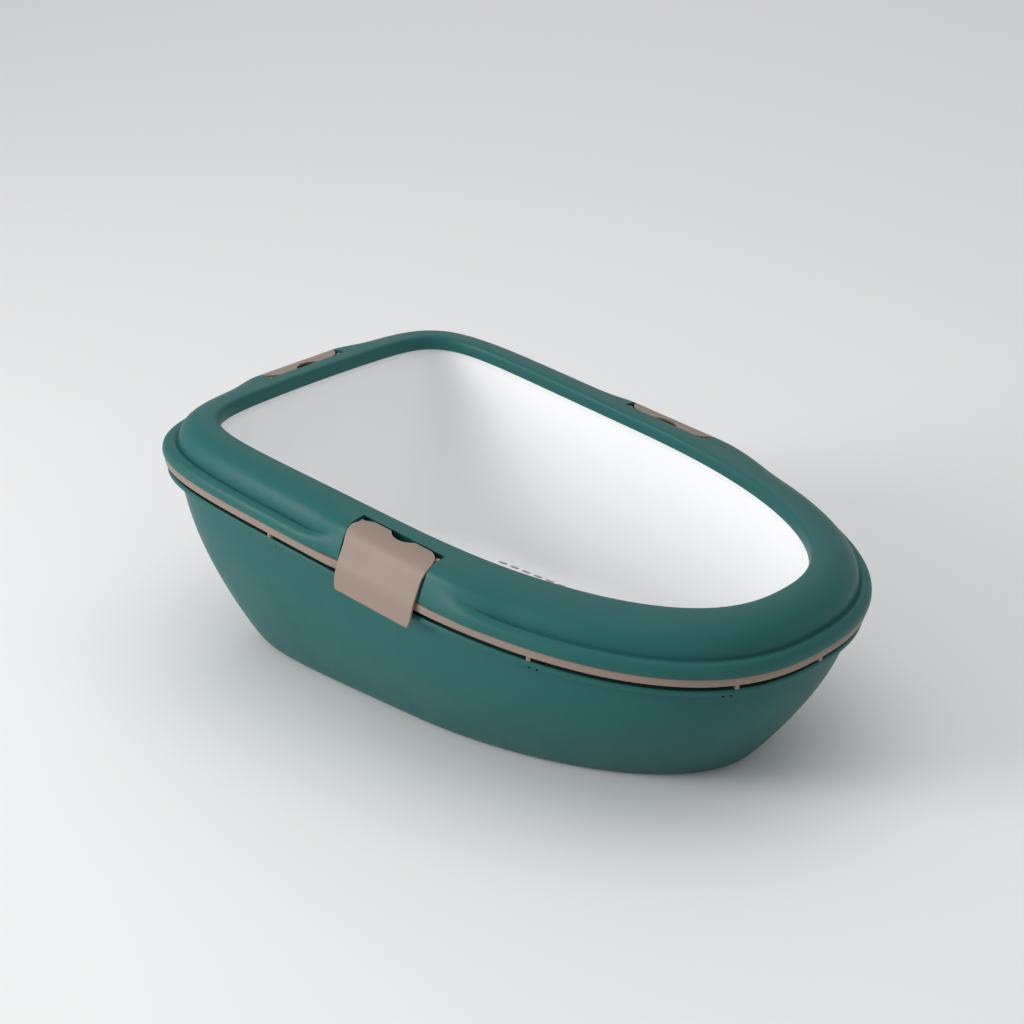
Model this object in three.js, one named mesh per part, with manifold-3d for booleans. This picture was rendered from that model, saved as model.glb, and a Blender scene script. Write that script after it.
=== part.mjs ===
// Open cat litter box: a base tray, a reserve tray and a slotted sifting tray nest in each other,
// and a splash rim is held on top by three hinged clips. Millimetres, +Z up, low entry end at -Y.
// Origin: on the ground under the middle of the box.
import * as THREE from 'three';
import { mergeVertices } from 'three/addons/utils/BufferGeometryUtils.js';
import Module from 'manifold-3d';

const wasm = await Module();
wasm.setup();

// ---------- driving dimensions ----------
const SLOPE = THREE.MathUtils.degToRad(5.6);  // the flanges and the rim fall towards the entry end
const FLANGE_Z = 154;           // height of the flange plane over the origin
const CENTRE_Y = 12;            // where front and back outlines join

// A plan is the reach of an outline to the sides, to the front and to the back, the superellipse
// powers of its round front (nose) and squarer back (corner), how far its back edge bows out, and
// the fraction by which it widens over each 300 mm towards the back.
const RIM_EDGE = { half: 188.5, front: 299, back: 280, nose: 2.45, corner: 7, bow: 14.8, taper: 0 };
const CREST = { half: 141, front: 251, back: 242.5, nose: 2.4, corner: 8.5, bow: 7.8, taper: 0.08 };
const FOOTPRINT = { half: 126, front: 227, back: 232, nose: 1.95, corner: 6, bow: 4, taper: 0 };
const TAPER_SPAN = 300;

const SHELL = 3;                 // wall of the rim
const CREST_RISE = 32.5;         // crest over the flange plane
const RIM_LIP = 20;              // lowest edge of the rim's inner face
const LEDGE = 10;                // flat ledge around the dome

const BASE = { wall: 3, floor: 0, flangeTop: -11.4, lip: 5.2, reach: 4.2, flange: 7.2 };
const RESERVE = { wall: 2.5, floor: 7, flangeTop: -0.3, lip: 8.2, reach: 3.6, drop: 2 };
const LIP_WALL = 2.5;            // wall of the lips that hang from the two lower trays' flanges
const SIEVE = { wall: 2.5, floor: 27.5, flangeThick: 2.5, reach: 10, gap: 4, collar: 24.5, drop: 2 };

const CLIP = { half: 43, neck: 41.2, thick: 2.6, y: -10 };
const PIVOT = { out: -26.5, up: 26, stub: 1.8, hole: 2.3, cheek: 3.2, swing: 6.6 };
// The raised pad under a clip reaches this far from the clip's middle before it starts to fall
// away, and ends this far from it: on most ends, and on the long ends towards the entry.
const PAD = { flat: 47, end: 86, flatLong: 50, endLong: 122 };

const NOTCH = { radius: 16, back: 9.5 };        // finger notch in a clip's top edge

const SLOT = { width: 3.8, length: 50, pitchX: 16, pitchY: 56, rows: 13, columns: 8 };

const TEAL = { color: 0x42706c, roughness: 0.5, metalness: 0 };
const TAUPE = { color: 0xac9b8f, roughness: 0.55, metalness: 0 };
const WHITE = { color: 0xe9eaec, roughness: 0.35, metalness: 0 };

// ---------- outlines ----------
const inset = (plan, d) => ({
  ...plan, half: plan.half - d, front: plan.front - d, back: plan.back - d,
});
const lerp = THREE.MathUtils.lerp;
const mix = (a, b, t) => Object.fromEntries(
  Object.keys(a).map((key) => [key, lerp(a[key], b[key], t)]),
);
const AXIS = { half: 0, front: -CENTRE_Y, back: CENTRE_Y, nose: 2, corner: 2, bow: 0, taper: 0 };

// Point of an outline at an angle from the back, turning towards +X.
function outline(plan, angle) {
  const s = Math.sin(angle);
  const c = Math.cos(angle);
  const power = c > 0 ? plan.corner : plan.nose;
  const reach = c > 0 ? plan.back - CENTRE_Y : plan.front + CENTRE_Y;
  const r = (Math.abs(s) ** power + Math.abs(c) ** power) ** (-1 / power);
  const bow = c > 0 ? plan.bow * (1 - (r * s) ** 2) : 0;
  const wide = 1 + plan.taper * reach * r * c / TAPER_SPAN;
  return new THREE.Vector2(plan.half * r * s * wide, CENTRE_Y + reach * r * c + bow);
}

// A height over the ground, or over the sloping flange plane.
const tilt = new THREE.Matrix4().makeRotationX(SLOPE).setPosition(0, 0, FLANGE_Z);
const overGround = (z) => (p) => new THREE.Vector3(p.x, p.y, z);
const overFlange = (h) => (p) => new THREE.Vector3(p.x, p.y, h).applyMatrix4(tilt);
const between = (a, b, t) => (p) => a(p).lerp(b(p), t);

// Turned body whose section is a list of stations, each with its own outline in plan.
function loft(stations, segments) {
  const profile = stations.map((s, i) => new THREE.Vector2(s.plan === AXIS ? 0 : 1, i));
  const body = new THREE.LatheGeometry(profile, segments);
  const position = body.attributes.position;
  for (let i = 0; i <= segments; i += 1) {
    const angle = (2 * Math.PI * (i % segments)) / segments;
    stations.forEach((station, j) => {
      const p = outline(station.plan, angle);
      const q = station.place(station.plan === AXIS ? new THREE.Vector2(0, CENTRE_Y) : p);
      position.setXYZ(i * stations.length + j, q.x, q.y, q.z);
    });
  }
  return body;
}

// ---------- solids ----------
function solid(geometry) {
  const plain = geometry.clone();
  plain.deleteAttribute('normal');
  plain.deleteAttribute('uv');
  const merged = mergeVertices(plain, 1e-3);
  const index = Array.from(merged.index.array);
  const kept = [];
  for (let i = 0; i < index.length; i += 3) {
    const [a, b, c] = index.slice(i, i + 3);
    if (a !== b && b !== c && c !== a) kept.push(a, b, c);
  }
  const mesh = new wasm.Mesh({
    numProp: 3,
    vertProperties: new Float32Array(merged.attributes.position.array),
    triVerts: new Uint32Array(kept),
  });
  const made = new wasm.Manifold(mesh);
  return made.volume() < 0 ? solid(flipped(geometry)) : made;
}

function flipped(geometry) {
  const copy = geometry.clone();
  const index = copy.index.array;
  for (let i = 0; i < index.length; i += 3) [index[i + 1], index[i + 2]] = [index[i + 2], index[i + 1]];
  return copy;
}

function named(name, body, look) {
  const { vertProperties, triVerts, numProp } = body.getMesh();
  const geometry = new THREE.BufferGeometry();
  const points = new Float32Array((vertProperties.length / numProp) * 3);
  for (let i = 0; i < points.length / 3; i += 1) {
    for (let k = 0; k < 3; k += 1) points[3 * i + k] = vertProperties[numProp * i + k];
  }
  geometry.setAttribute('position', new THREE.BufferAttribute(points, 3));
  geometry.setIndex(new THREE.BufferAttribute(new Uint32Array(triVerts), 1));
  const mesh = new THREE.Mesh(geometry, new THREE.MeshStandardMaterial(look));
  mesh.name = name;
  return mesh;
}

const box = (w, d, h, x, y, z) => solid(new THREE.BoxGeometry(w, d, h).translate(x, y, z));

// Prism of an outline drawn outwards and upwards, lying along the side of the box.
function prism(points, from, to) {
  const shape = new THREE.Shape(points.map(([x, y]) => new THREE.Vector2(x, y)));
  const body = new THREE.ExtrudeGeometry(shape, { depth: to - from, bevelEnabled: false });
  return solid(body.rotateX(Math.PI / 2).translate(0, to, 0));
}

const rod = (radius, from, to, sides = 24) => solid(
  new THREE.CylinderGeometry(radius, radius, to - from, sides)
    .translate(PIVOT.out, (from + to) / 2, PIVOT.up),
);

// ---------- trays ----------
const WALL_STEPS = [0.22, 0.45, 0.68, 0.86];   // fractions of the way down a wall
const WALL_BEND = 1.6;                         // how much a wall curves in towards its foot
const FOOT_RADIUS = 11;
const FOOT_RISE = 4;

// Stations down one face of a tray's wall and across its floor to the middle.
function wallDown(top, topPlace, foot, floor) {
  const footPlace = overGround(floor + FOOT_RISE);
  const steps = WALL_STEPS.map((t) => ({
    plan: mix(top, foot, t ** WALL_BEND), place: between(topPlace, footPlace, t),
  }));
  return [
    { plan: top, place: topPlace },
    ...steps,
    { plan: foot, place: footPlace },
    { plan: inset(foot, FOOT_RADIUS), place: overGround(floor) },
    { plan: AXIS, place: overGround(floor) },
  ];
}

const SEGMENTS = 60;
const baseEdge = inset(RIM_EDGE, BASE.reach);
const baseTop = inset(baseEdge, BASE.flange);
const reserveTop = inset(baseTop, BASE.wall + RESERVE.drop);
const reserveFoot = inset(FOOTPRINT, BASE.wall + FOOT_RISE);
const sieveTop = inset(CREST, -SIEVE.gap);
const sieveFoot = inset(reserveFoot, SIEVE.drop);

function baseTray() {
  const under = BASE.flangeTop - BASE.wall;
  const outside = wallDown(baseTop, overFlange(under), FOOTPRINT, BASE.floor).reverse();
  const lipInside = inset(baseEdge, LIP_WALL);
  const flange = [
    { plan: lipInside, place: overFlange(under) },
    { plan: lipInside, place: overFlange(BASE.flangeTop - BASE.lip) },
    { plan: baseEdge, place: overFlange(BASE.flangeTop - BASE.lip) },
    { plan: baseEdge, place: overFlange(BASE.flangeTop) },
  ];
  const inner = inset(baseTop, BASE.wall);
  const floor = BASE.floor + BASE.wall;
  const inside = wallDown(inner, overFlange(BASE.flangeTop), inset(FOOTPRINT, BASE.wall), floor);
  return solid(loft([...outside, ...flange, ...inside], SEGMENTS));
}

// Short ribs under the reserve tray's flange keep a gap open over the base tray's flange.
const RIB = { angles: [0.3, 0.75, 1.21, 1.66, 2.1, 2.71], width: 4, depth: 5, gap: 0.3 };

function reserveTray() {
  const edge = inset(RIM_EDGE, RESERVE.reach);
  const under = RESERVE.flangeTop - RESERVE.wall;
  const low = RESERVE.flangeTop - RESERVE.lip;
  const outside = wallDown(reserveTop, overFlange(under), reserveFoot, RESERVE.floor).reverse();
  const flange = [
    { plan: inset(edge, LIP_WALL), place: overFlange(under) },
    { plan: inset(edge, LIP_WALL), place: overFlange(low) },
    { plan: edge, place: overFlange(low) },
    { plan: edge, place: overFlange(RESERVE.flangeTop) },
  ];
  const inner = inset(reserveTop, RESERVE.wall);
  const floor = RESERVE.floor + RESERVE.wall;
  const innerFoot = inset(reserveFoot, RESERVE.wall);
  const inside = wallDown(inner, overFlange(RESERVE.flangeTop), innerFoot, floor);
  let tray = solid(loft([...outside, ...flange, ...inside], SEGMENTS));
  const bottom = BASE.flangeTop + RIB.gap;
  const height = under + 1 - bottom;
  for (const angle of [...RIB.angles, ...RIB.angles.map((a) => -a), Math.PI]) {
    const p = outline(inset(edge, 1 + RIB.depth / 2), angle);
    const q = outline(inset(edge, 30), angle);
    const rib = new THREE.BoxGeometry(RIB.depth, RIB.width, height);
    rib.rotateZ(Math.atan2(p.y - q.y, p.x - q.x)).translate(p.x, p.y, bottom + height / 2);
    tray = tray.add(solid(rib.applyMatrix4(tilt)));
  }
  return tray;
}

function sieveTray() {
  const outerTop = inset(sieveTop, -SIEVE.wall);
  const under = SIEVE.collar - 5;
  const outside = wallDown(outerTop, overFlange(under), sieveFoot, SIEVE.floor).reverse();
  const edge = inset(RIM_EDGE, SIEVE.reach);
  const collar = [
    { plan: inset(outerTop, -3), place: overFlange(0) },
    { plan: edge, place: overFlange(0) },
    { plan: edge, place: overFlange(SIEVE.flangeThick) },
    { plan: inset(outerTop, -4.5), place: overFlange(SIEVE.flangeThick) },
    { plan: inset(outerTop, -0.8), place: overFlange(SIEVE.collar) },
  ];
  const innerFoot = inset(sieveFoot, SIEVE.wall);
  const floor = SIEVE.floor + SIEVE.wall;
  const inside = wallDown(sieveTop, overFlange(SIEVE.collar), innerFoot, floor);
  let tray = solid(loft([...outside, ...collar, ...inside], SEGMENTS));
  const field = inset(sieveFoot, SIEVE.wall + FOOT_RADIUS + 3);
  const inField = (x, y) => {
    const reach = y > CENTRE_Y ? field.back - CENTRE_Y : field.front + CENTRE_Y;
    const power = y > CENTRE_Y ? field.corner : field.nose;
    return (Math.abs(x) / field.half) ** power + (Math.abs(y - CENTRE_Y) / reach) ** power < 1;
  };
  for (let i = 0; i < SLOT.rows; i += 1) {
    for (let j = 0; j < SLOT.columns; j += 1) {
      const x = (i - (SLOT.rows - 1) / 2) * SLOT.pitchX;
      const y = (j - (SLOT.columns - 1) / 2) * SLOT.pitchY;
      const ends = [y - SLOT.length / 2, y + SLOT.length / 2];
      const sides = [x - SLOT.width / 2, x + SLOT.width / 2];
      if (!ends.every((v) => sides.every((u) => inField(u, v)))) continue;
      tray = tray.subtract(box(SLOT.width, SLOT.length, 4 * SIEVE.wall, x, y, floor));
    }
  }
  return tray;
}

// ---------- clips and their seats: outwards is +X from the rim's edge, along the side is Y ----------
// Outer face of a clip in section, from its top edge down.
const CLIP_FACE = [
  [-30, 30.4], [-26.5, 30.3], [-22.5, 29.9], [-18.5, 29.1], [-14.8, 27.7], [-11.6, 25.2], [-9, 21.6],
  [-6.8, 16.5], [-3.4, 7.5], [0, -1.5], [1.4, -9], [2.3, -15.5], [2.9, -20.5],
];
// Half width of the clip beside each of those points: rounded ears, then a slightly narrower plate.
const CLIP_HALF = [
  CLIP.half - 11, CLIP.half - 5, CLIP.half - 2, CLIP.half - 0.4, CLIP.half, CLIP.half - 0.2,
  CLIP.half - 1, CLIP.neck, CLIP.neck, CLIP.neck, CLIP.neck, CLIP.neck - 0.6, CLIP.neck - 2.5,
];
const curve = (points) => points.map(([x, y]) => new THREE.Vector2(x, y));

// The face moved along its own normal, inwards when the distance is positive.
function faceAt(i, distance) {
  const face = curve(CLIP_FACE);
  const before = face[Math.max(i - 1, 0)];
  const after = face[Math.min(i + 1, face.length - 1)];
  const along = after.clone().sub(before).normalize();
  return face[i].clone().add(new THREE.Vector2(along.y, -along.x).multiplyScalar(distance));
}

function clip() {
  const steps = CLIP_FACE.length - 1;
  const plate = new THREE.BoxGeometry(1, 1, 1, 1, steps, 1);
  const position = plate.attributes.position;
  for (let v = 0; v < position.count; v += 1) {
    const i = Math.round((0.5 - position.getY(v)) * steps);
    const p = faceAt(i, position.getX(v) > 0 ? 0 : CLIP.thick);
    position.setXYZ(v, p.x, -2 * position.getZ(v) * CLIP_HALF[i], p.y);
  }
  let body = solid(plate);
  const notch = new THREE.CylinderGeometry(NOTCH.radius, NOTCH.radius, 40, 32).rotateX(Math.PI / 2);
  body = body.subtract(solid(notch.translate(CLIP_FACE[0][0] - NOTCH.back, 0, CLIP_FACE[0][1])));
  const bead = [[-2.6, -17], [1.8, -15], [2.6, -19.5], [-1.8, -19.3]];
  body = body.add(prism(bead, -CLIP.half + 8, CLIP.half - 8));
  for (const side of [-1, 1]) {
    const cheek = [side * (CLIP.half - 4), side * (CLIP.half - 0.6)].sort((a, b) => a - b);
    const stub = [side * (CLIP.half - 2), side * (CLIP.half + 4.5)].sort((a, b) => a - b);
    body = body.add(rod(PIVOT.cheek, ...cheek)).add(rod(PIVOT.stub, ...stub));
  }
  return body;
}

const SEATS = [
  { name: 'clip_left', turn: Math.PI, x: -RIM_EDGE.half, y: CLIP.y },
  { name: 'clip_right', turn: 0, x: RIM_EDGE.half, y: CLIP.y },
  { name: 'clip_back', turn: Math.PI / 2, x: 0, y: RIM_EDGE.back + RIM_EDGE.bow },
];

// ---------- rim ----------
const ledgeEdge = inset(RIM_EDGE, LEDGE);
const dome = (t) => mix(ledgeEdge, CREST, t);
const onEdge = (d) => inset(RIM_EDGE, d);
const byCrest = (d) => inset(CREST, -d);

// Section of the rim: outline and height of each station, and where it lies on the pad of a clip
// as a distance inside the rim's edge and a height. The first half is the outer skin.
const RIM_SECTION = [
  [onEdge(0), 0, 4, 0], [onEdge(0), 6.5, 5.4, 7], [onEdge(3), 10.6, 7, 13], [ledgeEdge, 11.4, 9, 19],
  [dome(0.03), 16, 11, 23.2], [dome(0.1), 22, 14.4, 27], [dome(0.26), 28, 20, 29.3],
  [dome(0.55), 32, 29, 30.9], [byCrest(2.5), CREST_RISE], [byCrest(0), CREST_RISE - 2],
  [byCrest(0), RIM_LIP], [byCrest(SHELL), RIM_LIP], [byCrest(SHELL), CREST_RISE - SHELL - 1],
  [dome(0.6), 29.2, 31, 27.8], [dome(0.34), 25.6, 24, 26.2], [dome(0.2), 20.5, 18.5, 24],
  [onEdge(LEDGE + 4), 8.2, 13, 19], [onEdge(3 + SHELL), 7.5, 10.6, 13], [onEdge(SHELL), 4.5, 8.9, 7],
  [onEdge(SHELL), 0, 7, 0],
];

const onSide = (seat, x, y) => (seat.name === 'clip_back' ? y > CENTRE_Y : x * seat.x > 0);

// How much of the pad's shape a point has beside a seat, from 0 to 1.
function padWeight(seat, x, y) {
  const along = seat.name === 'clip_back' ? Math.abs(x) : y - seat.y;
  const long = seat.name !== 'clip_back' && along < 0;
  const [flat, end] = long ? [PAD.flatLong, PAD.endLong] : [PAD.flat, PAD.end];
  return 1 - THREE.MathUtils.smoothstep(Math.abs(along), flat, end);
}

function rimShell() {
  const stations = RIM_SECTION.map(([plan, h, padInset, padHeight]) => ({
    plan,
    place: (p) => {
      const q = new THREE.Vector3(p.x, p.y, h);
      for (const seat of SEATS) {
        if (padInset === undefined || !onSide(seat, p.x, p.y)) continue;
        const weight = padWeight(seat, p.x, p.y);
        if (seat.name === 'clip_back') q.y = lerp(q.y, seat.y - padInset, weight);
        else q.x = lerp(q.x, seat.x - Math.sign(seat.x) * padInset, weight);
        q.z = lerp(q.z, padHeight, weight);
      }
      return q;
    },
  }));
  return solid(loft([...stations, stations[0]], SEGMENTS));
}

// What a clip needs cut from the rim: its own section with play, its swing and its stub holes.
function seatCut() {
  const play = 0.7;
  const n = CLIP_FACE.length;
  const outer = CLIP_FACE.map((_, i) => faceAt(i, -play));
  const inner = CLIP_FACE.map((_, i) => faceAt(n - 1 - i, CLIP.thick + play));
  const reach = CLIP.half + play;
  const swept = prism([...outer, ...inner].map((p) => [p.x, p.y]), -reach, reach);
  const holes = rod(PIVOT.hole, -CLIP.half - 5.2, CLIP.half + 5.2);
  return swept.add(rod(PIVOT.swing, -reach, reach, 32)).add(holes);
}

// Block under the rim's skin: a trough behind the clip's top edge, with ends that carry its stubs.
function seatBlock() {
  const section = [[-36, 17.8], [-19.5, 17.8], [-18.5, 27], [-26, 29], [-36, 29.9]];
  const far = CLIP.half + 6.5;
  return prism(section, -far, far);
}

function rim() {
  let body = rimShell();
  for (const seat of SEATS) {
    const turn = [0, 0, THREE.MathUtils.radToDeg(seat.turn)];
    const place = (part) => part.rotate(turn).translate([seat.x, seat.y, 0]);
    body = body.add(place(seatBlock())).subtract(place(seatCut()));
  }
  return body;
}

// ---------- assembly ----------
const litterBox = new THREE.Group();
litterBox.add(named('base_tray', baseTray(), TEAL));
litterBox.add(named('reserve_tray', reserveTray(), TAUPE));
litterBox.add(named('sieve_tray', sieveTray(), WHITE));

const top = new THREE.Group();
top.rotation.x = SLOPE;
top.position.z = FLANGE_Z;
top.add(named('rim', rim(), TEAL));
for (const seat of SEATS) {
  const mesh = named(seat.name, clip(), TAUPE);
  mesh.position.set(seat.x, seat.y, 0);
  mesh.rotation.z = seat.turn;
  top.add(mesh);
}
litterBox.add(top);

export default litterBox;
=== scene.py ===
"""Looks of the sifting cat litter box: three nested trays, a splash rim and three clips.

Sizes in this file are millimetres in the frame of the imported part, and metres once meshed.
"""

import math

import bmesh
import bpy
import numpy as np
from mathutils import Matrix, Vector


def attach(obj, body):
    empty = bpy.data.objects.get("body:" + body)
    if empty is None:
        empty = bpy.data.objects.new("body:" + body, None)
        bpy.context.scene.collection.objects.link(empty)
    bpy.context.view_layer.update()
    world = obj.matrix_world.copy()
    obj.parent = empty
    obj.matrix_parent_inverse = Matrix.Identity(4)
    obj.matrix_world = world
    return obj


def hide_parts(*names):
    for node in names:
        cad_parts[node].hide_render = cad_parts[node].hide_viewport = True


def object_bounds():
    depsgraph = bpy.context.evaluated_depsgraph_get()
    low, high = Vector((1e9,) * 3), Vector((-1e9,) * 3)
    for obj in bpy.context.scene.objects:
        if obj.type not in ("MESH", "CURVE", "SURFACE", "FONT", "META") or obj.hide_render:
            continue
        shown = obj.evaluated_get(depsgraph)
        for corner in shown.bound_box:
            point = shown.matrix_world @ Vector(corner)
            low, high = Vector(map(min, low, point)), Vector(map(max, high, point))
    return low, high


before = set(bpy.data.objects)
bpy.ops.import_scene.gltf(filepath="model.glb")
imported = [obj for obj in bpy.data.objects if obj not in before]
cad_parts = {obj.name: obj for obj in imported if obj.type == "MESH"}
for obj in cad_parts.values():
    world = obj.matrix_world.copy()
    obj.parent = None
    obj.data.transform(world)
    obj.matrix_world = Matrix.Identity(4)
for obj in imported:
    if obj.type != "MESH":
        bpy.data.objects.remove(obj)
CAD_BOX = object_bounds()

# ---------- driving dimensions ----------
MM = 0.001
SLOPE = math.radians(5.6)        # the flanges and the rim fall towards the entry end
FLANGE_Z = 154.0
CENTRE_Y = 12.0
SEGMENTS = 168

# A plan is half width, reach to the front, reach to the back, powers of nose and corner, how far
# the back bows out, and the fraction by which it widens over each 300 mm towards the back.
RIM_EDGE = np.array([188.5, 299, 280, 2.45, 7, 14.8, 0])
CREST = np.array([142.6, 251, 242.5, 2.4, 8.5, 7.8, 0.045])
FOOTPRINT = np.array([126, 227, 232, 1.95, 6, 4, 0])
TAPER_SPAN = 300.0

SHELL = 3.0
CREST_RISE = 32.5
RIM_LIP = 20.0
LEDGE = 10.0
BASE = dict(wall=3.0, floor=0.0, flange_top=-12.0, lip=5.0, groove=3.0, reach=3.6, flange=7.8)
RESERVE = dict(wall=2.5, floor=7.0, flange_top=-0.3, lip=7.3, reach=1.6, drop=2.0, tuck=4.0)
LIP_WALL = 2.5
SIEVE = dict(wall=2.5, floor=27.5, flange_thick=2.5, reach=10.0, gap=4.0, collar=24.5, drop=2.0)
CLIP = dict(half=43.0, thick=1.9, recess=2.6, y=-10.0)
PIVOT = dict(out=-26.5, up=26.0, stub=1.8, hole=2.3, cheek=3.2, swing=6.6)
PAD = dict(flat=47.0, end=86.0, flat_long=50.0, end_long=122.0)
NOTCH = dict(radius=16.0, back=9.5, low=10.0, high=50.0)
SLOT = dict(width=3.4, length=10.0, pitch_x=16.3, pitch_y=14.0, rows=13, columns=32)
WALL_STEPS = (0.22, 0.45, 0.68, 0.86)
WALL_BEND = 1.6
FOOT_RADIUS = 11.0
FOOT_RISE = 4.0
RIB_ANGLES = (0.3, 0.75, 1.21, 1.66, 2.1, 2.71)
HOLE_ANGLES = (1.21, 2.11, 2.70)
PIT = dict(radius=1.1, apart=3.2, inner=-1.6, outer=4.0, height=-22.5, sides=16)
SEAT_PLAY = 0.7                  # room around a clip in its seat
SEAT_BLOCK = [(-36, 17.8), (-19.5, 17.8), (-18.5, 27), (-26, 29), (-36, 29.9)]
BLOCK_PAST_CLIP = 6.5
HOLE_PAST_CLIP = 5.2
FLOOR_HALF = 9.0                 # metres

# Where each clip sits: outwards is +X from the rim's edge, turned about the vertical.
SEATS = [
    dict(name="clip_left", turn=math.pi, x=-188.5, y=CLIP["y"]),
    dict(name="clip_right", turn=0.0, x=188.5, y=CLIP["y"]),
    dict(name="clip_back", turn=math.pi / 2, x=0.0, y=294.8),
]


# ---------- outlines ----------
def smoothstep(x, low, high):
    t = np.clip((x - low) / (high - low), 0, 1)
    return t * t * (3 - 2 * t)


def inset(plan, d):
    out = np.array(plan, float)
    out[:3] -= d
    return out


def mix(a, b, t):
    return a + (b - a) * t


def outline(plan, angle):
    half, front, back, nose, corner, bow, taper = plan
    s, c = np.sin(angle), np.cos(angle)
    behind = c > 0
    power = np.where(behind, corner, nose)
    reach = np.where(behind, back - CENTRE_Y, front + CENTRE_Y)
    r = (np.abs(s) ** power + np.abs(c) ** power) ** (-1 / power)
    y = CENTRE_Y + reach * r * c + np.where(behind, bow * (1 - (r * s) ** 2), 0)
    return half * r * s * (1 + taper * reach * r * c / TAPER_SPAN), y


def over_ground(x, y, z):
    return np.stack([x, y, np.full_like(x, z)], 1)


def over_flange(x, y, h):
    h = np.zeros_like(x) + h
    c, s = math.cos(SLOPE), math.sin(SLOPE)
    return np.stack([x, y * c - h * s, FLANGE_Z + y * s + h * c], 1)


ANGLES = np.arange(SEGMENTS) * 2 * math.pi / SEGMENTS


def ground_ring(plan, z):
    return over_ground(*outline(plan, ANGLES), z)


def flange_ring(plan, h):
    return over_flange(*outline(plan, ANGLES), h)


# ---------- meshes ----------
def mesh_object(name, points, faces):
    mesh = bpy.data.meshes.new(name)
    mesh.from_pydata([tuple(p * MM) for p in np.asarray(points, float)], [], faces)
    mesh.update()
    obj = bpy.data.objects.new(name, mesh)
    bpy.context.scene.collection.objects.link(obj)
    return obj


def soften(rings, radii, closed):
    """A ring with a radius gives way to two, that far before and after it along the section."""
    out = []
    last = len(rings) - 1
    for i, (ring, radius) in enumerate(zip(rings, radii)):
        if not radius or (not closed and i in (0, last)):
            out.append(ring)
            continue
        for other in (rings[i - 1], rings[(i + 1) % len(rings)]):
            span = np.linalg.norm(other - ring, axis=1).mean()
            out.append(ring + (other - ring) * min(radius / span, 0.42))
    return out


def loft(name, rings, closed):
    n = len(rings[0])
    points = np.concatenate(rings)
    faces = []
    pairs = [(k, k + 1) for k in range(len(rings) - 1)]
    if closed:
        pairs.append((len(rings) - 1, 0))
    for a, b in pairs:
        for i in range(n):
            j = (i + 1) % n
            faces.append((a * n + i, a * n + j, b * n + j, b * n + i))
    if not closed:
        for k, flip in ((0, 1), (len(rings) - 1, -1)):
            middle = rings[k].mean(0)
            points = np.vstack([points, middle])
            m = len(points) - 1
            for i in range(n):
                j = (i + 1) % n
                faces.append((k * n + j, k * n + i, m)[::flip])
    return mesh_object(name, points, faces)


def prism_faces(n):
    """Two ends and the sides of a prism whose outline has n points."""
    ends = [list(range(n)), list(range(n, 2 * n))[::-1]]
    return ends + [[i, (i + 1) % n, n + (i + 1) % n, n + i] for i in range(n)]


def baked(obj):
    """The object's modifiers become its mesh."""
    graph = bpy.context.evaluated_depsgraph_get()
    mesh = bpy.data.meshes.new_from_object(obj.evaluated_get(graph))
    obj.modifiers.clear()
    obj.data = mesh
    return obj


def outward(obj):
    bm = bmesh.new()
    bm.from_mesh(obj.data)
    bmesh.ops.recalc_face_normals(bm, faces=bm.faces)
    bm.to_mesh(obj.data)
    bm.free()
    return obj


def smooth(obj, levels):
    outward(obj)
    m = obj.modifiers.new("smooth", "SUBSURF")
    m.levels = levels
    m.render_levels = levels
    return baked(obj)


def combine(obj, other, operation):
    m = obj.modifiers.new("cut", "BOOLEAN")
    m.operation = operation
    m.solver = "MANIFOLD"
    m.object = other
    count = len(obj.data.polygons)
    baked(obj)
    if len(obj.data.polygons) in (0, count):
        print("boolean changed nothing:", obj.name, other.name)
    bpy.data.objects.remove(other)
    return obj


def shade(obj, degrees=32):
    obj.data.shade_smooth()
    obj.data.set_sharp_from_angle(angle=math.radians(degrees))
    return obj


# ---------- trays ----------
def wall_down(top, top_height, foot, floor):
    """Rings down one face of a tray's wall and across its floor, with the radius of each edge."""
    foot_z = floor + FOOT_RISE
    rings = [(flange_ring(top, top_height), 0)]
    for t in WALL_STEPS:
        plan = mix(top, foot, t ** WALL_BEND)
        high = flange_ring(plan, top_height)
        low = ground_ring(plan, foot_z)
        rings.append((mix(high, low, t), 0))
    rings.append((ground_ring(foot, foot_z), 0))
    rings.append((ground_ring(inset(foot, FOOT_RADIUS * 0.5), floor + 0.8), 0))
    rings.append((ground_ring(inset(foot, FOOT_RADIUS + 3), floor), 0))
    rings.append((ground_ring(inset(foot, FOOT_RADIUS + 8), floor), 0))
    rings.append((ground_ring(inset(foot, 60), floor), 0))
    return rings


def edged(section, radius):
    """First ring of a section with a rounded edge."""
    return [(section[0][0], radius)] + section[1:]


BASE_EDGE = inset(RIM_EDGE, BASE["reach"])
BASE_TOP = inset(BASE_EDGE, BASE["flange"])
RESERVE_TOP = inset(BASE_TOP, BASE["wall"] + RESERVE["drop"])
RESERVE_FOOT = inset(FOOTPRINT, BASE["wall"] + FOOT_RISE)
SIEVE_TOP = inset(CREST, -SIEVE["gap"])
SIEVE_FOOT = inset(RESERVE_FOOT, SIEVE["drop"])


def tray(name, outside, flange, inside, levels=2):
    section = outside[::-1] + flange + inside
    rings = soften([s[0] for s in section], [s[1] for s in section], False)
    return smooth(loft(name, rings, False), levels)


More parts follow.
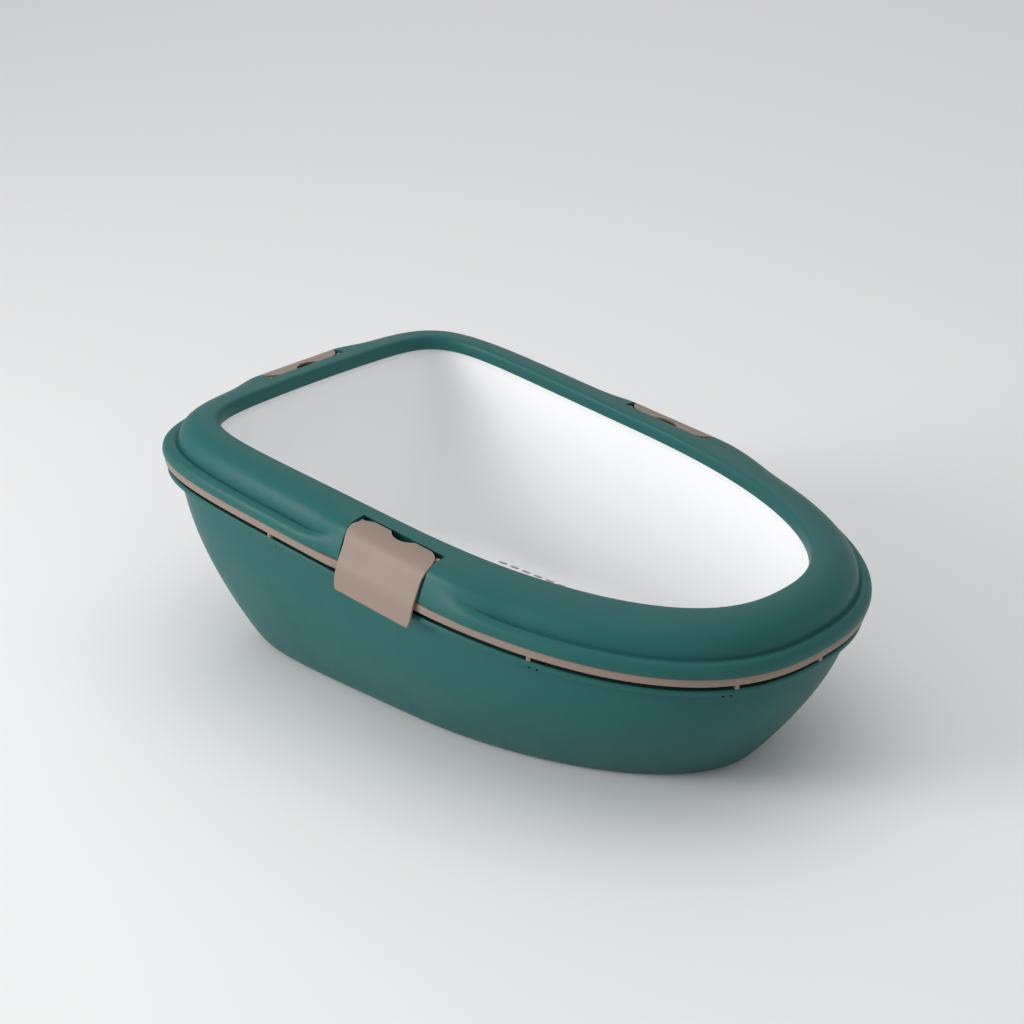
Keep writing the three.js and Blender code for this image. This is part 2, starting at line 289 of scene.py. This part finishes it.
def base_tray():
    top = BASE["flange_top"]
    under = top - BASE["lip"]
    sunk = top - BASE["groove"]
    outside = edged(wall_down(BASE_TOP, under, FOOTPRINT, BASE["floor"]), 1.2)
    flange = [
        (flange_ring(BASE_EDGE, under), 1.0),
        (flange_ring(BASE_EDGE, top), 1.2),
        (flange_ring(inset(BASE_EDGE, LIP_WALL), top), 0.7),
        (flange_ring(inset(BASE_EDGE, LIP_WALL + 0.6), sunk), 0.5),
    ]
    inner = inset(BASE_TOP, BASE["wall"])
    floor = BASE["floor"] + BASE["wall"]
    inside = edged(wall_down(inner, sunk, inset(FOOTPRINT, BASE["wall"]), floor), 1.0)
    shell = tray("base_shell", outside, flange, inside)
    pits = [pit for a in HOLE_ANGLES for side in (-1, 1) for pit in pair_of_pits(side * a)]
    return combine(shell, joined(pits, "pits"), "DIFFERENCE")


def pair_of_pits(angle):
    """Two short rods right through the base tray's wall, just below its lip."""
    at = np.array(edge_point(inset(BASE_TOP, 0.8), angle))
    ahead = np.array(edge_point(inset(BASE_TOP, 0.8), angle + 0.01))
    along = (ahead - at) / np.linalg.norm(ahead - at)
    out = np.array([along[1], -along[0]])
    rods = []
    n = PIT["sides"]
    for shift in (-PIT["apart"], PIT["apart"]):
        points = []
        for depth in (PIT["inner"], PIT["outer"]):
            for k in range(n):
                a = 2 * math.pi * k / n
                q = at + out * depth + along * (shift + PIT["radius"] * math.cos(a))
                points.append((q[0], q[1], PIT["height"] + PIT["radius"] * math.sin(a)))
        points = over_flange(*np.array(points).T)
        rods.append(outward(mesh_object("pit", points, prism_faces(n))))
    return rods


def box_at(name, size, centre, turn):
    """Small rounded block, turned about the vertical, in the frame of the flange plane."""
    w, d, h = (v / 2 for v in size)
    corners = []
    for k in (-h, h):
        for x, y in ((-w, -d), (w, -d), (w, d), (-w, d)):
            corners.append((x, y, k))
    c, s = math.cos(turn), math.sin(turn)
    corners = np.array(corners)
    x = centre[0] + corners[:, 0] * c - corners[:, 1] * s
    y = centre[1] + corners[:, 0] * s + corners[:, 1] * c
    z = centre[2] + corners[:, 2]
    points = over_flange(x, y, z)
    quads = [(0, 3, 2, 1), (4, 5, 6, 7), (0, 1, 5, 4), (1, 2, 6, 5), (2, 3, 7, 6), (3, 0, 4, 7)]
    obj = mesh_object(name, points, quads)
    m = obj.modifiers.new("round", "BEVEL")
    m.width = 0.5 * MM
    m.segments = 2
    return baked(obj)


def joined(objects, name):
    bm = bmesh.new()
    for obj in objects:
        bm.from_mesh(obj.data)
    mesh = bpy.data.meshes.new(name)
    bm.to_mesh(mesh)
    bm.free()
    for obj in objects:
        bpy.data.objects.remove(obj)
    out = bpy.data.objects.new(name, mesh)
    bpy.context.scene.collection.objects.link(out)
    return out


def edge_point(plan, angle):
    x, y = outline(plan, np.array([angle]))
    return float(x[0]), float(y[0])


def tucked_ring(plan, h):
    """The reserve tray's edge, which draws in behind each clip."""
    x, y = outline(plan, ANGLES)
    for seat in SEATS:
        if seat["name"] == "clip_back":
            near = (y > CENTRE_Y) * (1 - smoothstep(np.abs(x), 41, 50))
            y = mix(y, seat["y"] - RESERVE["tuck"], near)
        else:
            near = (x * seat["x"] > 0) * (1 - smoothstep(np.abs(y - seat["y"]), 41, 50))
            x = mix(x, seat["x"] - math.copysign(RESERVE["tuck"], seat["x"]), near)
    return over_flange(x, y, h)


def reserve_tray():
    edge = inset(RIM_EDGE, RESERVE["reach"])
    under = RESERVE["flange_top"] - RESERVE["wall"]
    low = RESERVE["flange_top"] - RESERVE["lip"]
    lip_inside = inset(edge, LIP_WALL + RESERVE["tuck"] - RESERVE["reach"])
    outside = edged(wall_down(RESERVE_TOP, under, RESERVE_FOOT, RESERVE["floor"]), 1.0)
    flange = [
        (flange_ring(lip_inside, under), 0.6),
        (flange_ring(lip_inside, low), 0.6),
        (tucked_ring(edge, low), 0.7),
        (tucked_ring(edge, RESERVE["flange_top"]), 0.6),
    ]
    inner = inset(RESERVE_TOP, RESERVE["wall"])
    floor = RESERVE["floor"] + RESERVE["wall"]
    inner_foot = inset(RESERVE_FOOT, RESERVE["wall"])
    inside = edged(wall_down(inner, RESERVE["flange_top"], inner_foot, floor), 1.0)
    shell = tray("reserve_shell", outside, flange, inside)
    bottom = BASE["flange_top"] + 0.3
    height = under + 1 - bottom
    ribs = []
    for angle in (*RIB_ANGLES, *[-a for a in RIB_ANGLES], math.pi):
        p = edge_point(inset(edge, 4), angle)
        q = edge_point(inset(edge, 30), angle)
        turn = math.atan2(p[1] - q[1], p[0] - q[0])
        ribs.append(box_at("rib", (5, 3.4, height), (p[0], p[1], bottom + height / 2), turn))
    return joined([shell] + ribs, "reserve_shell")


def stadium(x, y, z0, z1, width, length, points, faces):
    """Adds a slot-shaped prism with round ends along Y."""
    r = width / 2
    turn = np.linspace(0, math.pi, 7)
    straight = length / 2 - r
    loop = [(x + r * math.cos(a), y + straight + r * math.sin(a)) for a in turn]
    loop += [(x - r * math.cos(a), y - straight - r * math.sin(a)) for a in turn]
    n = len(loop)
    start = len(points)
    points.extend([(u, v, z0) for u, v in loop])
    points.extend([(u, v, z1) for u, v in loop])
    faces.append([start + i for i in range(n)][::-1])
    faces.append([start + n + i for i in range(n)])
    for i in range(n):
        j = (i + 1) % n
        faces.append([start + i, start + j, start + n + j, start + n + i])


def sieve_tray():
    outer_top = inset(SIEVE_TOP, -SIEVE["wall"])
    under = SIEVE["collar"] - 5
    outside = edged(wall_down(outer_top, under, SIEVE_FOOT, SIEVE["floor"]), 0.8)
    edge = inset(RIM_EDGE, SIEVE["reach"])
    thick = SIEVE["flange_thick"]
    flange = [
        (flange_ring(inset(outer_top, -3), 0), 0.8),
        (flange_ring(edge, 0), 0.6),
        (flange_ring(edge, thick), 0.6),
        (flange_ring(inset(outer_top, -4.5), thick), 0.8),
        (flange_ring(inset(outer_top, -0.8), SIEVE["collar"]), 0.8),
    ]
    inner_foot = inset(SIEVE_FOOT, SIEVE["wall"])
    floor = SIEVE["floor"] + SIEVE["wall"]
    inside = edged(wall_down(SIEVE_TOP, SIEVE["collar"], inner_foot, floor), 0.8)
    shell = tray("sieve_shell", outside, flange, inside)
    field = inset(SIEVE_FOOT, SIEVE["wall"] + FOOT_RADIUS + 3)
    points, faces = [], []
    for i in range(SLOT["rows"]):
        x = (i - (SLOT["rows"] - 1) / 2) * SLOT["pitch_x"]
        for j in range(SLOT["columns"]):
            y = (j - (SLOT["columns"] - 1) / 2) * SLOT["pitch_y"]
            behind = y > CENTRE_Y
            far = abs(y - CENTRE_Y) + SLOT["length"] / 2
            reach = field[2] - CENTRE_Y if behind else field[1] + CENTRE_Y
            power = field[4] if behind else field[3]
            if ((abs(x) + 2) / field[0]) ** power + (far / reach) ** power > 1:
                continue
            stadium(x, y, floor - 6, floor + 6, SLOT["width"], SLOT["length"], points, faces)
    cutter = outward(mesh_object("slots", points, faces))
    return combine(shell, cutter, "DIFFERENCE")


# ---------- clips and their seats: outwards is +X from the rim's edge, along the side is Y ----------
CLIP_FACE = np.array([
    (-30, 30.4), (-26.5, 30.3), (-22.5, 29.9), (-18.5, 29.1), (-14.8, 27.7), (-11.6, 25.2), (-9, 21.6),
    (-6.8, 16.5), (-3.4, 7.5), (0, -1.5), (1.4, -9), (2.3, -15.5), (2.9, -20.5),
])
CLIP_HALF = np.array([30, 36.6, 40.2, 42.3, 43, 42.8, 42, 41.2, 41.2, 41.2, 41.2, 40.6, 38.9])


def normals_along(curve):
    along = np.gradient(curve, axis=0)
    along /= np.linalg.norm(along, axis=1)[:, None]
    return np.stack([along[:, 1], -along[:, 0]], 1)


def face_at(distance):
    """The clip's face moved along its normal, inwards when the distance is positive."""
    return CLIP_FACE + normals_along(CLIP_FACE) * distance


def placed(obj, seat):
    """From the frame of a seat to the frame of the part."""
    co = np.empty(len(obj.data.vertices) * 3)
    obj.data.vertices.foreach_get("co", co)
    p = co.reshape(-1, 3) / MM
    c, s = math.cos(seat["turn"]), math.sin(seat["turn"])
    x = seat["x"] + p[:, 0] * c - p[:, 1] * s
    y = seat["y"] + p[:, 0] * s + p[:, 1] * c
    moved = over_flange(x, y, p[:, 2]) * MM
    obj.data.vertices.foreach_set("co", moved.ravel())
    obj.data.update()
    return obj


def prism(name, section, start, end):
    """Closed prism of an outline drawn outwards and upwards, along the side."""
    points = [(x, start, z) for x, z in section] + [(x, end, z) for x, z in section]
    return outward(mesh_object(name, points, prism_faces(len(section))))


def rod(name, radius, start, end, sides=40):
    a = np.arange(sides) * 2 * math.pi / sides
    ring = [(PIVOT["out"] + radius * math.cos(t), PIVOT["up"] + radius * math.sin(t)) for t in a]
    return prism(name, ring, start, end)


def refined(points, steps):
    """Catmull-Rom curve through points."""
    p = np.vstack([2 * points[0] - points[1], points, 2 * points[-1] - points[-2]])
    out = []
    for i in range(1, len(p) - 2):
        for k in range(steps):
            t = k / steps
            a, b, c, d = p[i - 1], p[i], p[i + 1], p[i + 2]
            out.append(0.5 * (2 * b + (c - a) * t + (2 * a - 5 * b + 4 * c - d) * t * t
                              + (3 * b - a - 3 * c + d) * t ** 3))
    out.append(p[-2])
    return np.array(out)


def clip_plate():
    """Curved plate with rounded ears: a grid on the face and one behind it."""
    table = refined(np.column_stack([CLIP_FACE, CLIP_HALF]), 3)
    face, half = table[:, :2], table[:, 2]
    normal = normals_along(face)
    across = np.array([-1, -0.985, -0.95, -0.8, -0.5, -0.2, 0, 0.2, 0.5, 0.8, 0.95, 0.985, 1])
    rows, cols = len(face), len(across)
    layers = []
    for depth in (0.0, CLIP["thick"]):
        p = face + normal * depth
        grid = np.zeros((rows, cols, 3))
        grid[:, :, 0] = p[:, :1]
        grid[:, :, 1] = half[:, None] * across[None, :]
        grid[:, :, 2] = p[:, 1:]
        layers.append(grid.reshape(-1, 3))
    points = np.vstack(layers)
    faces = []
    n = rows * cols
    for i in range(rows - 1):
        for j in range(cols - 1):
            a, b, c, d = i * cols + j, i * cols + j + 1, (i + 1) * cols + j + 1, (i + 1) * cols + j
            faces += [(a, b, c, d), (n + d, n + c, n + b, n + a)]
    border = list(range(cols)) + [i * cols + cols - 1 for i in range(1, rows)]
    border += [(rows - 1) * cols + j for j in range(cols - 2, -1, -1)]
    border += [i * cols for i in range(rows - 2, 0, -1)]
    for k in range(len(border)):
        a, b = border[k], border[(k + 1) % len(border)]
        faces.append((b, a, n + a, n + b))
    plate = outward(mesh_object("clip_plate", points, faces))
    m = plate.modifiers.new("round", "BEVEL")
    m.width = 0.7 * MM
    m.segments = 3
    m.limit_method = "ANGLE"
    m.angle_limit = math.radians(50)
    baked(plate)
    n = 96
    a = np.arange(n) * 2 * math.pi / n
    x = CLIP_FACE[0][0] - NOTCH["back"] + NOTCH["radius"] * np.cos(a)
    y = NOTCH["radius"] * np.sin(a)
    points = [(*p, NOTCH["low"]) for p in zip(x, y)] + [(*p, NOTCH["high"]) for p in zip(x, y)]
    return combine(plate, outward(mesh_object("notch", points, prism_faces(n))), "DIFFERENCE")


def clip(seat):
    plate = clip_plate()
    bead = refined(np.array([(-2.4, -16.5), (-0.2, -16), (1.6, -15.4), (2.2, -17.5), (2.5, -19.5),
                             (0.4, -19.6), (-1.8, -19.3), (-2.6, -18.2), (-2.4, -16.5)]), 3)[:-1]
    parts = [plate, prism("bead", bead, -CLIP["half"] + 8, CLIP["half"] - 8)]
    for side in (-1, 1):
        cheek = sorted((side * (CLIP["half"] - 4), side * (CLIP["half"] - 0.6)))
        stub = sorted((side * (CLIP["half"] - 2), side * (CLIP["half"] + 4.5)))
        parts += [rod("cheek", PIVOT["cheek"], *cheek), rod("stub", PIVOT["stub"], *stub, 24)]
    return placed(joined(parts, seat["name"] + "_cover"), seat)


# ---------- rim ----------
LEDGE_EDGE = inset(RIM_EDGE, LEDGE)


def dome(t):
    return mix(LEDGE_EDGE, CREST, t)


def on_edge(d):
    return inset(RIM_EDGE, d)


def by_crest(d):
    return inset(CREST, -d)


# Outline, height, place on a clip's pad as distance in from the edge and height, edge radius.
RIM_SECTION = [
    (on_edge(0), 0, 4, 0, 0.8), (on_edge(0), 5.4, 5, 5.5, 0), (on_edge(1.4), 8.8, 6, 9.5, 0),
    (on_edge(4.2), 10.9, 7.2, 13.4, 0), (on_edge(7.5), 11.5, 8.4, 17, 0),
    (on_edge(10.2), 9.7, 9.4, 19.9, 0.4), (dome(0.02), 14.8, 10.8, 23.8, 0),
    (dome(0.075), 20.6, 13.4, 27.2, 0), (dome(0.18), 25.8, 18.2, 29.5, 0),
    (dome(0.35), 29.7, 23.6, 30.7, 0), (dome(0.6), 32.3, 30, 31.1, 0),
    (dome(0.84), 32.7, 37, 32, 0), (by_crest(2.5), CREST_RISE, None, 0, 0),
    (by_crest(0), CREST_RISE - 2.2, None, 0, 0), (by_crest(0), RIM_LIP, None, 0, 0.8),
    (by_crest(SHELL), RIM_LIP, None, 0, 0.8), (by_crest(SHELL), CREST_RISE - SHELL - 1, None, 0, 0),
    (dome(0.6), 29.2, 31, 27.8, 0), (dome(0.34), 25.6, 24, 26.2, 0), (dome(0.2), 20.5, 18.5, 24, 0),
    (on_edge(LEDGE + 4), 8.2, 13, 19, 0), (on_edge(3 + SHELL), 7.5, 10.6, 13, 0),
    (on_edge(SHELL), 4.5, 8.9, 7, 0), (on_edge(SHELL), 0, 7, 0, 0.8),
]


def beside(seat, x, y):
    """How much of the pad's shape each point has beside a seat."""
    if seat["name"] == "clip_back":
        return (y > CENTRE_Y) * (1 - smoothstep(np.abs(x), PAD["flat"], PAD["end"]))
    along = y - seat["y"]
    short = 1 - smoothstep(np.abs(along), PAD["flat"], PAD["end"])
    long = 1 - smoothstep(np.abs(along), PAD["flat_long"], PAD["end_long"])
    return (x * seat["x"] > 0) * np.where(along < 0, long, short)


def rim_shell():
    rings = []
    for plan, h, pad_inset, pad_height, _ in RIM_SECTION:
        x, y = outline(plan, ANGLES)
        z = np.full_like(x, float(h))
        if pad_inset is not None:
            for seat, near in [(seat, beside(seat, x, y)) for seat in SEATS]:
                if seat["name"] == "clip_back":
                    y = mix(y, seat["y"] - pad_inset, near)
                else:
                    x = mix(x, seat["x"] - math.copysign(pad_inset, seat["x"]), near)
                z = mix(z, pad_height, near)
        rings.append(over_flange(x, y, z))
    rings = soften(rings, [row[4] for row in RIM_SECTION], True)
    return smooth(loft("rim_shell", rings, True), 2)


def seat_cut():
    section = np.vstack([face_at(-SEAT_PLAY), face_at(CLIP["recess"] + SEAT_PLAY)[::-1]])
    reach = CLIP["half"] + SEAT_PLAY
    hole_reach = CLIP["half"] + HOLE_PAST_CLIP
    return [
        prism("seat_cut", section, -reach, reach),
        rod("swing", PIVOT["swing"], -reach, reach, 48),
        rod("holes", PIVOT["hole"], -hole_reach, hole_reach, 24),
    ]


def rim():
    body = rim_shell()
    far = CLIP["half"] + BLOCK_PAST_CLIP
    for seat in SEATS:
        combine(body, outward(placed(prism("block", SEAT_BLOCK, -far, far), seat)), "UNION")
        for cutter in seat_cut():
            combine(body, outward(placed(cutter, seat)), "DIFFERENCE")
    return body


# ---------- materials ----------
def plastic(name, light, dark, roughness, grain, specular, spread=0.055, waves=0.04):
    """Moulded plastic: eroded grain in the bump, soft shade and sheen variation, paler worn edges."""
    mat = bpy.data.materials.new(name)
    mat.use_nodes = True
    nodes, links = mat.node_tree.nodes, mat.node_tree.links
    shader = nodes["Principled BSDF"]
    shader.inputs["Specular IOR Level"].default_value = specular
    place = nodes.new("ShaderNodeTexCoord")

    def noise(scale, detail, rough=0.5):
        node = nodes.new("ShaderNodeTexNoise")
        node.inputs["Scale"].default_value = scale
        node.inputs["Detail"].default_value = detail
        node.inputs["Roughness"].default_value = rough
        links.new(place.outputs["Object"], node.inputs["Vector"])
        return node

    cloud = noise(7.0, 4.0)
    shade_of = nodes.new("ShaderNodeMix")
    shade_of.data_type = "RGBA"
    shade_of.inputs["A"].default_value = (*dark, 1)
    shade_of.inputs["B"].default_value = (*light, 1)
    links.new(cloud.outputs["Fac"], shade_of.inputs["Factor"])

    edge = nodes.new("ShaderNodeNewGeometry")
    worn = nodes.new("ShaderNodeMapRange")
    worn.inputs["From Min"].default_value = 0.53
    worn.inputs["From Max"].default_value = 0.68
    worn.inputs["To Max"].default_value = 0.35
    links.new(edge.outputs["Pointiness"], worn.inputs["Value"])
    patch = noise(90.0, 3.0)
    part = nodes.new("ShaderNodeMath")
    part.operation = "MULTIPLY"
    links.new(worn.outputs["Result"], part.inputs[0])
    links.new(patch.outputs["Fac"], part.inputs[1])
    edged_mix = nodes.new("ShaderNodeMix")
    edged_mix.data_type = "RGBA"
    edged_mix.inputs["B"].default_value = (*[min(1.0, v * 1.5 + 0.03) for v in light], 1)
    links.new(part.outputs["Value"], edged_mix.inputs["Factor"])
    links.new(shade_of.outputs["Result"], edged_mix.inputs["A"])
    links.new(edged_mix.outputs["Result"], shader.inputs["Base Color"])

    handled = noise(28.0, 5.0, 0.6)
    sheen = nodes.new("ShaderNodeMapRange")
    sheen.inputs["From Min"].default_value = 0.3
    sheen.inputs["From Max"].default_value = 0.7
    sheen.inputs["To Min"].default_value = roughness - spread
    sheen.inputs["To Max"].default_value = roughness + spread
    links.new(handled.outputs["Fac"], sheen.inputs["Value"])
    links.new(sheen.outputs["Result"], shader.inputs["Roughness"])

    fine = noise(1400.0, 2.0)
    wave = noise(45.0, 2.0)
    bump = nodes.new("ShaderNodeBump")
    bump.inputs["Strength"].default_value = grain
    bump.inputs["Distance"].default_value = 0.0002
    links.new(fine.outputs["Fac"], bump.inputs["Height"])
    ripple = nodes.new("ShaderNodeBump")
    ripple.inputs["Strength"].default_value = waves
    ripple.inputs["Distance"].default_value = 0.001
    links.new(wave.outputs["Fac"], ripple.inputs["Height"])
    links.new(bump.outputs["Normal"], ripple.inputs["Normal"])
    links.new(ripple.outputs["Normal"], shader.inputs["Normal"])
    return mat


TEAL = plastic("teal_plastic", (0.019, 0.111, 0.105), (0.016, 0.100, 0.094), 0.42, 0.25, 0.16)
TAUPE = plastic("taupe_plastic", (0.262, 0.199, 0.160), (0.243, 0.184, 0.148), 0.48, 0.25, 0.28)
WHITE = plastic("white_plastic", (0.91, 0.911, 0.917), (0.90, 0.901, 0.908), 0.22, 0.03, 0.4, 0.015, 0.008)


# ---------- pieces ----------
def finish_piece(obj, material, node, body, degrees=32):
    shade(obj, degrees)
    obj.data.materials.clear()
    obj.data.materials.append(material)
    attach(obj, body)
    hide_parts(node)
    return obj


finish_piece(base_tray(), TEAL, "base_tray", "base")
finish_piece(reserve_tray(), TAUPE, "reserve_tray", "reserve")
finish_piece(sieve_tray(), WHITE, "sieve_tray", "sieve")
finish_piece(rim(), TEAL, "rim", "rim")
for seat in SEATS:
    finish_piece(clip(seat), TAUPE, seat["name"], seat["name"])


# ---------- floor, light, camera ----------
def floor_material():
    mat = bpy.data.materials.new("studio_floor")
    mat.use_nodes = True
    shader = mat.node_tree.nodes["Principled BSDF"]
    shader.inputs["Base Color"].default_value = (0.80, 0.80, 0.80, 1)
    shader.inputs["Roughness"].default_value = 0.75
    shader.inputs["Specular IOR Level"].default_value = 0.2
    return mat


corners = [(-1, -1, 0), (1, -1, 0), (1, 1, 0), (-1, 1, 0)]
floor = mesh_object("studio_floor", np.array(corners) * FLOOR_HALF / MM, [(0, 1, 2, 3)])
floor.data.materials.append(floor_material())

world = bpy.data.worlds.new("studio")
bpy.context.scene.world = world
world.use_nodes = True
world.node_tree.nodes["Background"].inputs["Color"].default_value = (0.97, 0.98, 1.0, 1)
world.node_tree.nodes["Background"].inputs["Strength"].default_value = 0.5


def softbox(name, at, aim, size, power):
    data = bpy.data.lights.new(name, "AREA")
    data.shape = "RECTANGLE"
    data.size, data.size_y = size
    data.energy = power
    obj = bpy.data.objects.new(name, data)
    obj.location = at
    obj.rotation_euler = (Vector(aim) - Vector(at)).to_track_quat("-Z", "Y").to_euler()
    bpy.context.scene.collection.objects.link(obj)


low, high = CAD_BOX
middle = (low + high) / 2
softbox("key", (-2.1, 1.2, 0.95), middle, (1.1, 1.1), 44)
softbox("overhead", (0.1, 0.0, 2.5), middle, (2.6, 2.6), 20)
softbox("front", (-1.2, -2.4, 1.3), middle, (1.6, 1.2), 5)
softbox("wash", (2.7, 2.4, 2.4), (2.5, 2.2, 0), (3.2, 3.2), 18)

# The camera stands over the entry end's left corner.
AZIMUTH, ELEVATION = math.radians(47.73), math.radians(24.01)
DISTANCE = 1.9765
SIDE_SHIFT, UP_SHIFT = -0.0224, 0.0488
aim = Vector((middle.x, middle.y - 0.0111, 0.0977))
back = Vector((-math.sin(AZIMUTH) * math.cos(ELEVATION), -math.cos(AZIMUTH) * math.cos(ELEVATION),
               math.sin(ELEVATION)))
right = Vector((math.cos(AZIMUTH), -math.sin(AZIMUTH), 0))
up = back.cross(right)
camera_data = bpy.data.cameras.new("camera")
camera_data.lens = 84.375
camera_data.sensor_width = 36
camera_data.clip_end = 50
camera = bpy.data.objects.new("camera", camera_data)
camera.location = aim + right * SIDE_SHIFT + up * UP_SHIFT + back * DISTANCE
camera.rotation_euler = back.to_track_quat("Z", "Y").to_euler()
bpy.context.scene.collection.objects.link(camera)
bpy.context.scene.camera = camera
bpy.context.scene.view_settings.view_transform = "Standard"
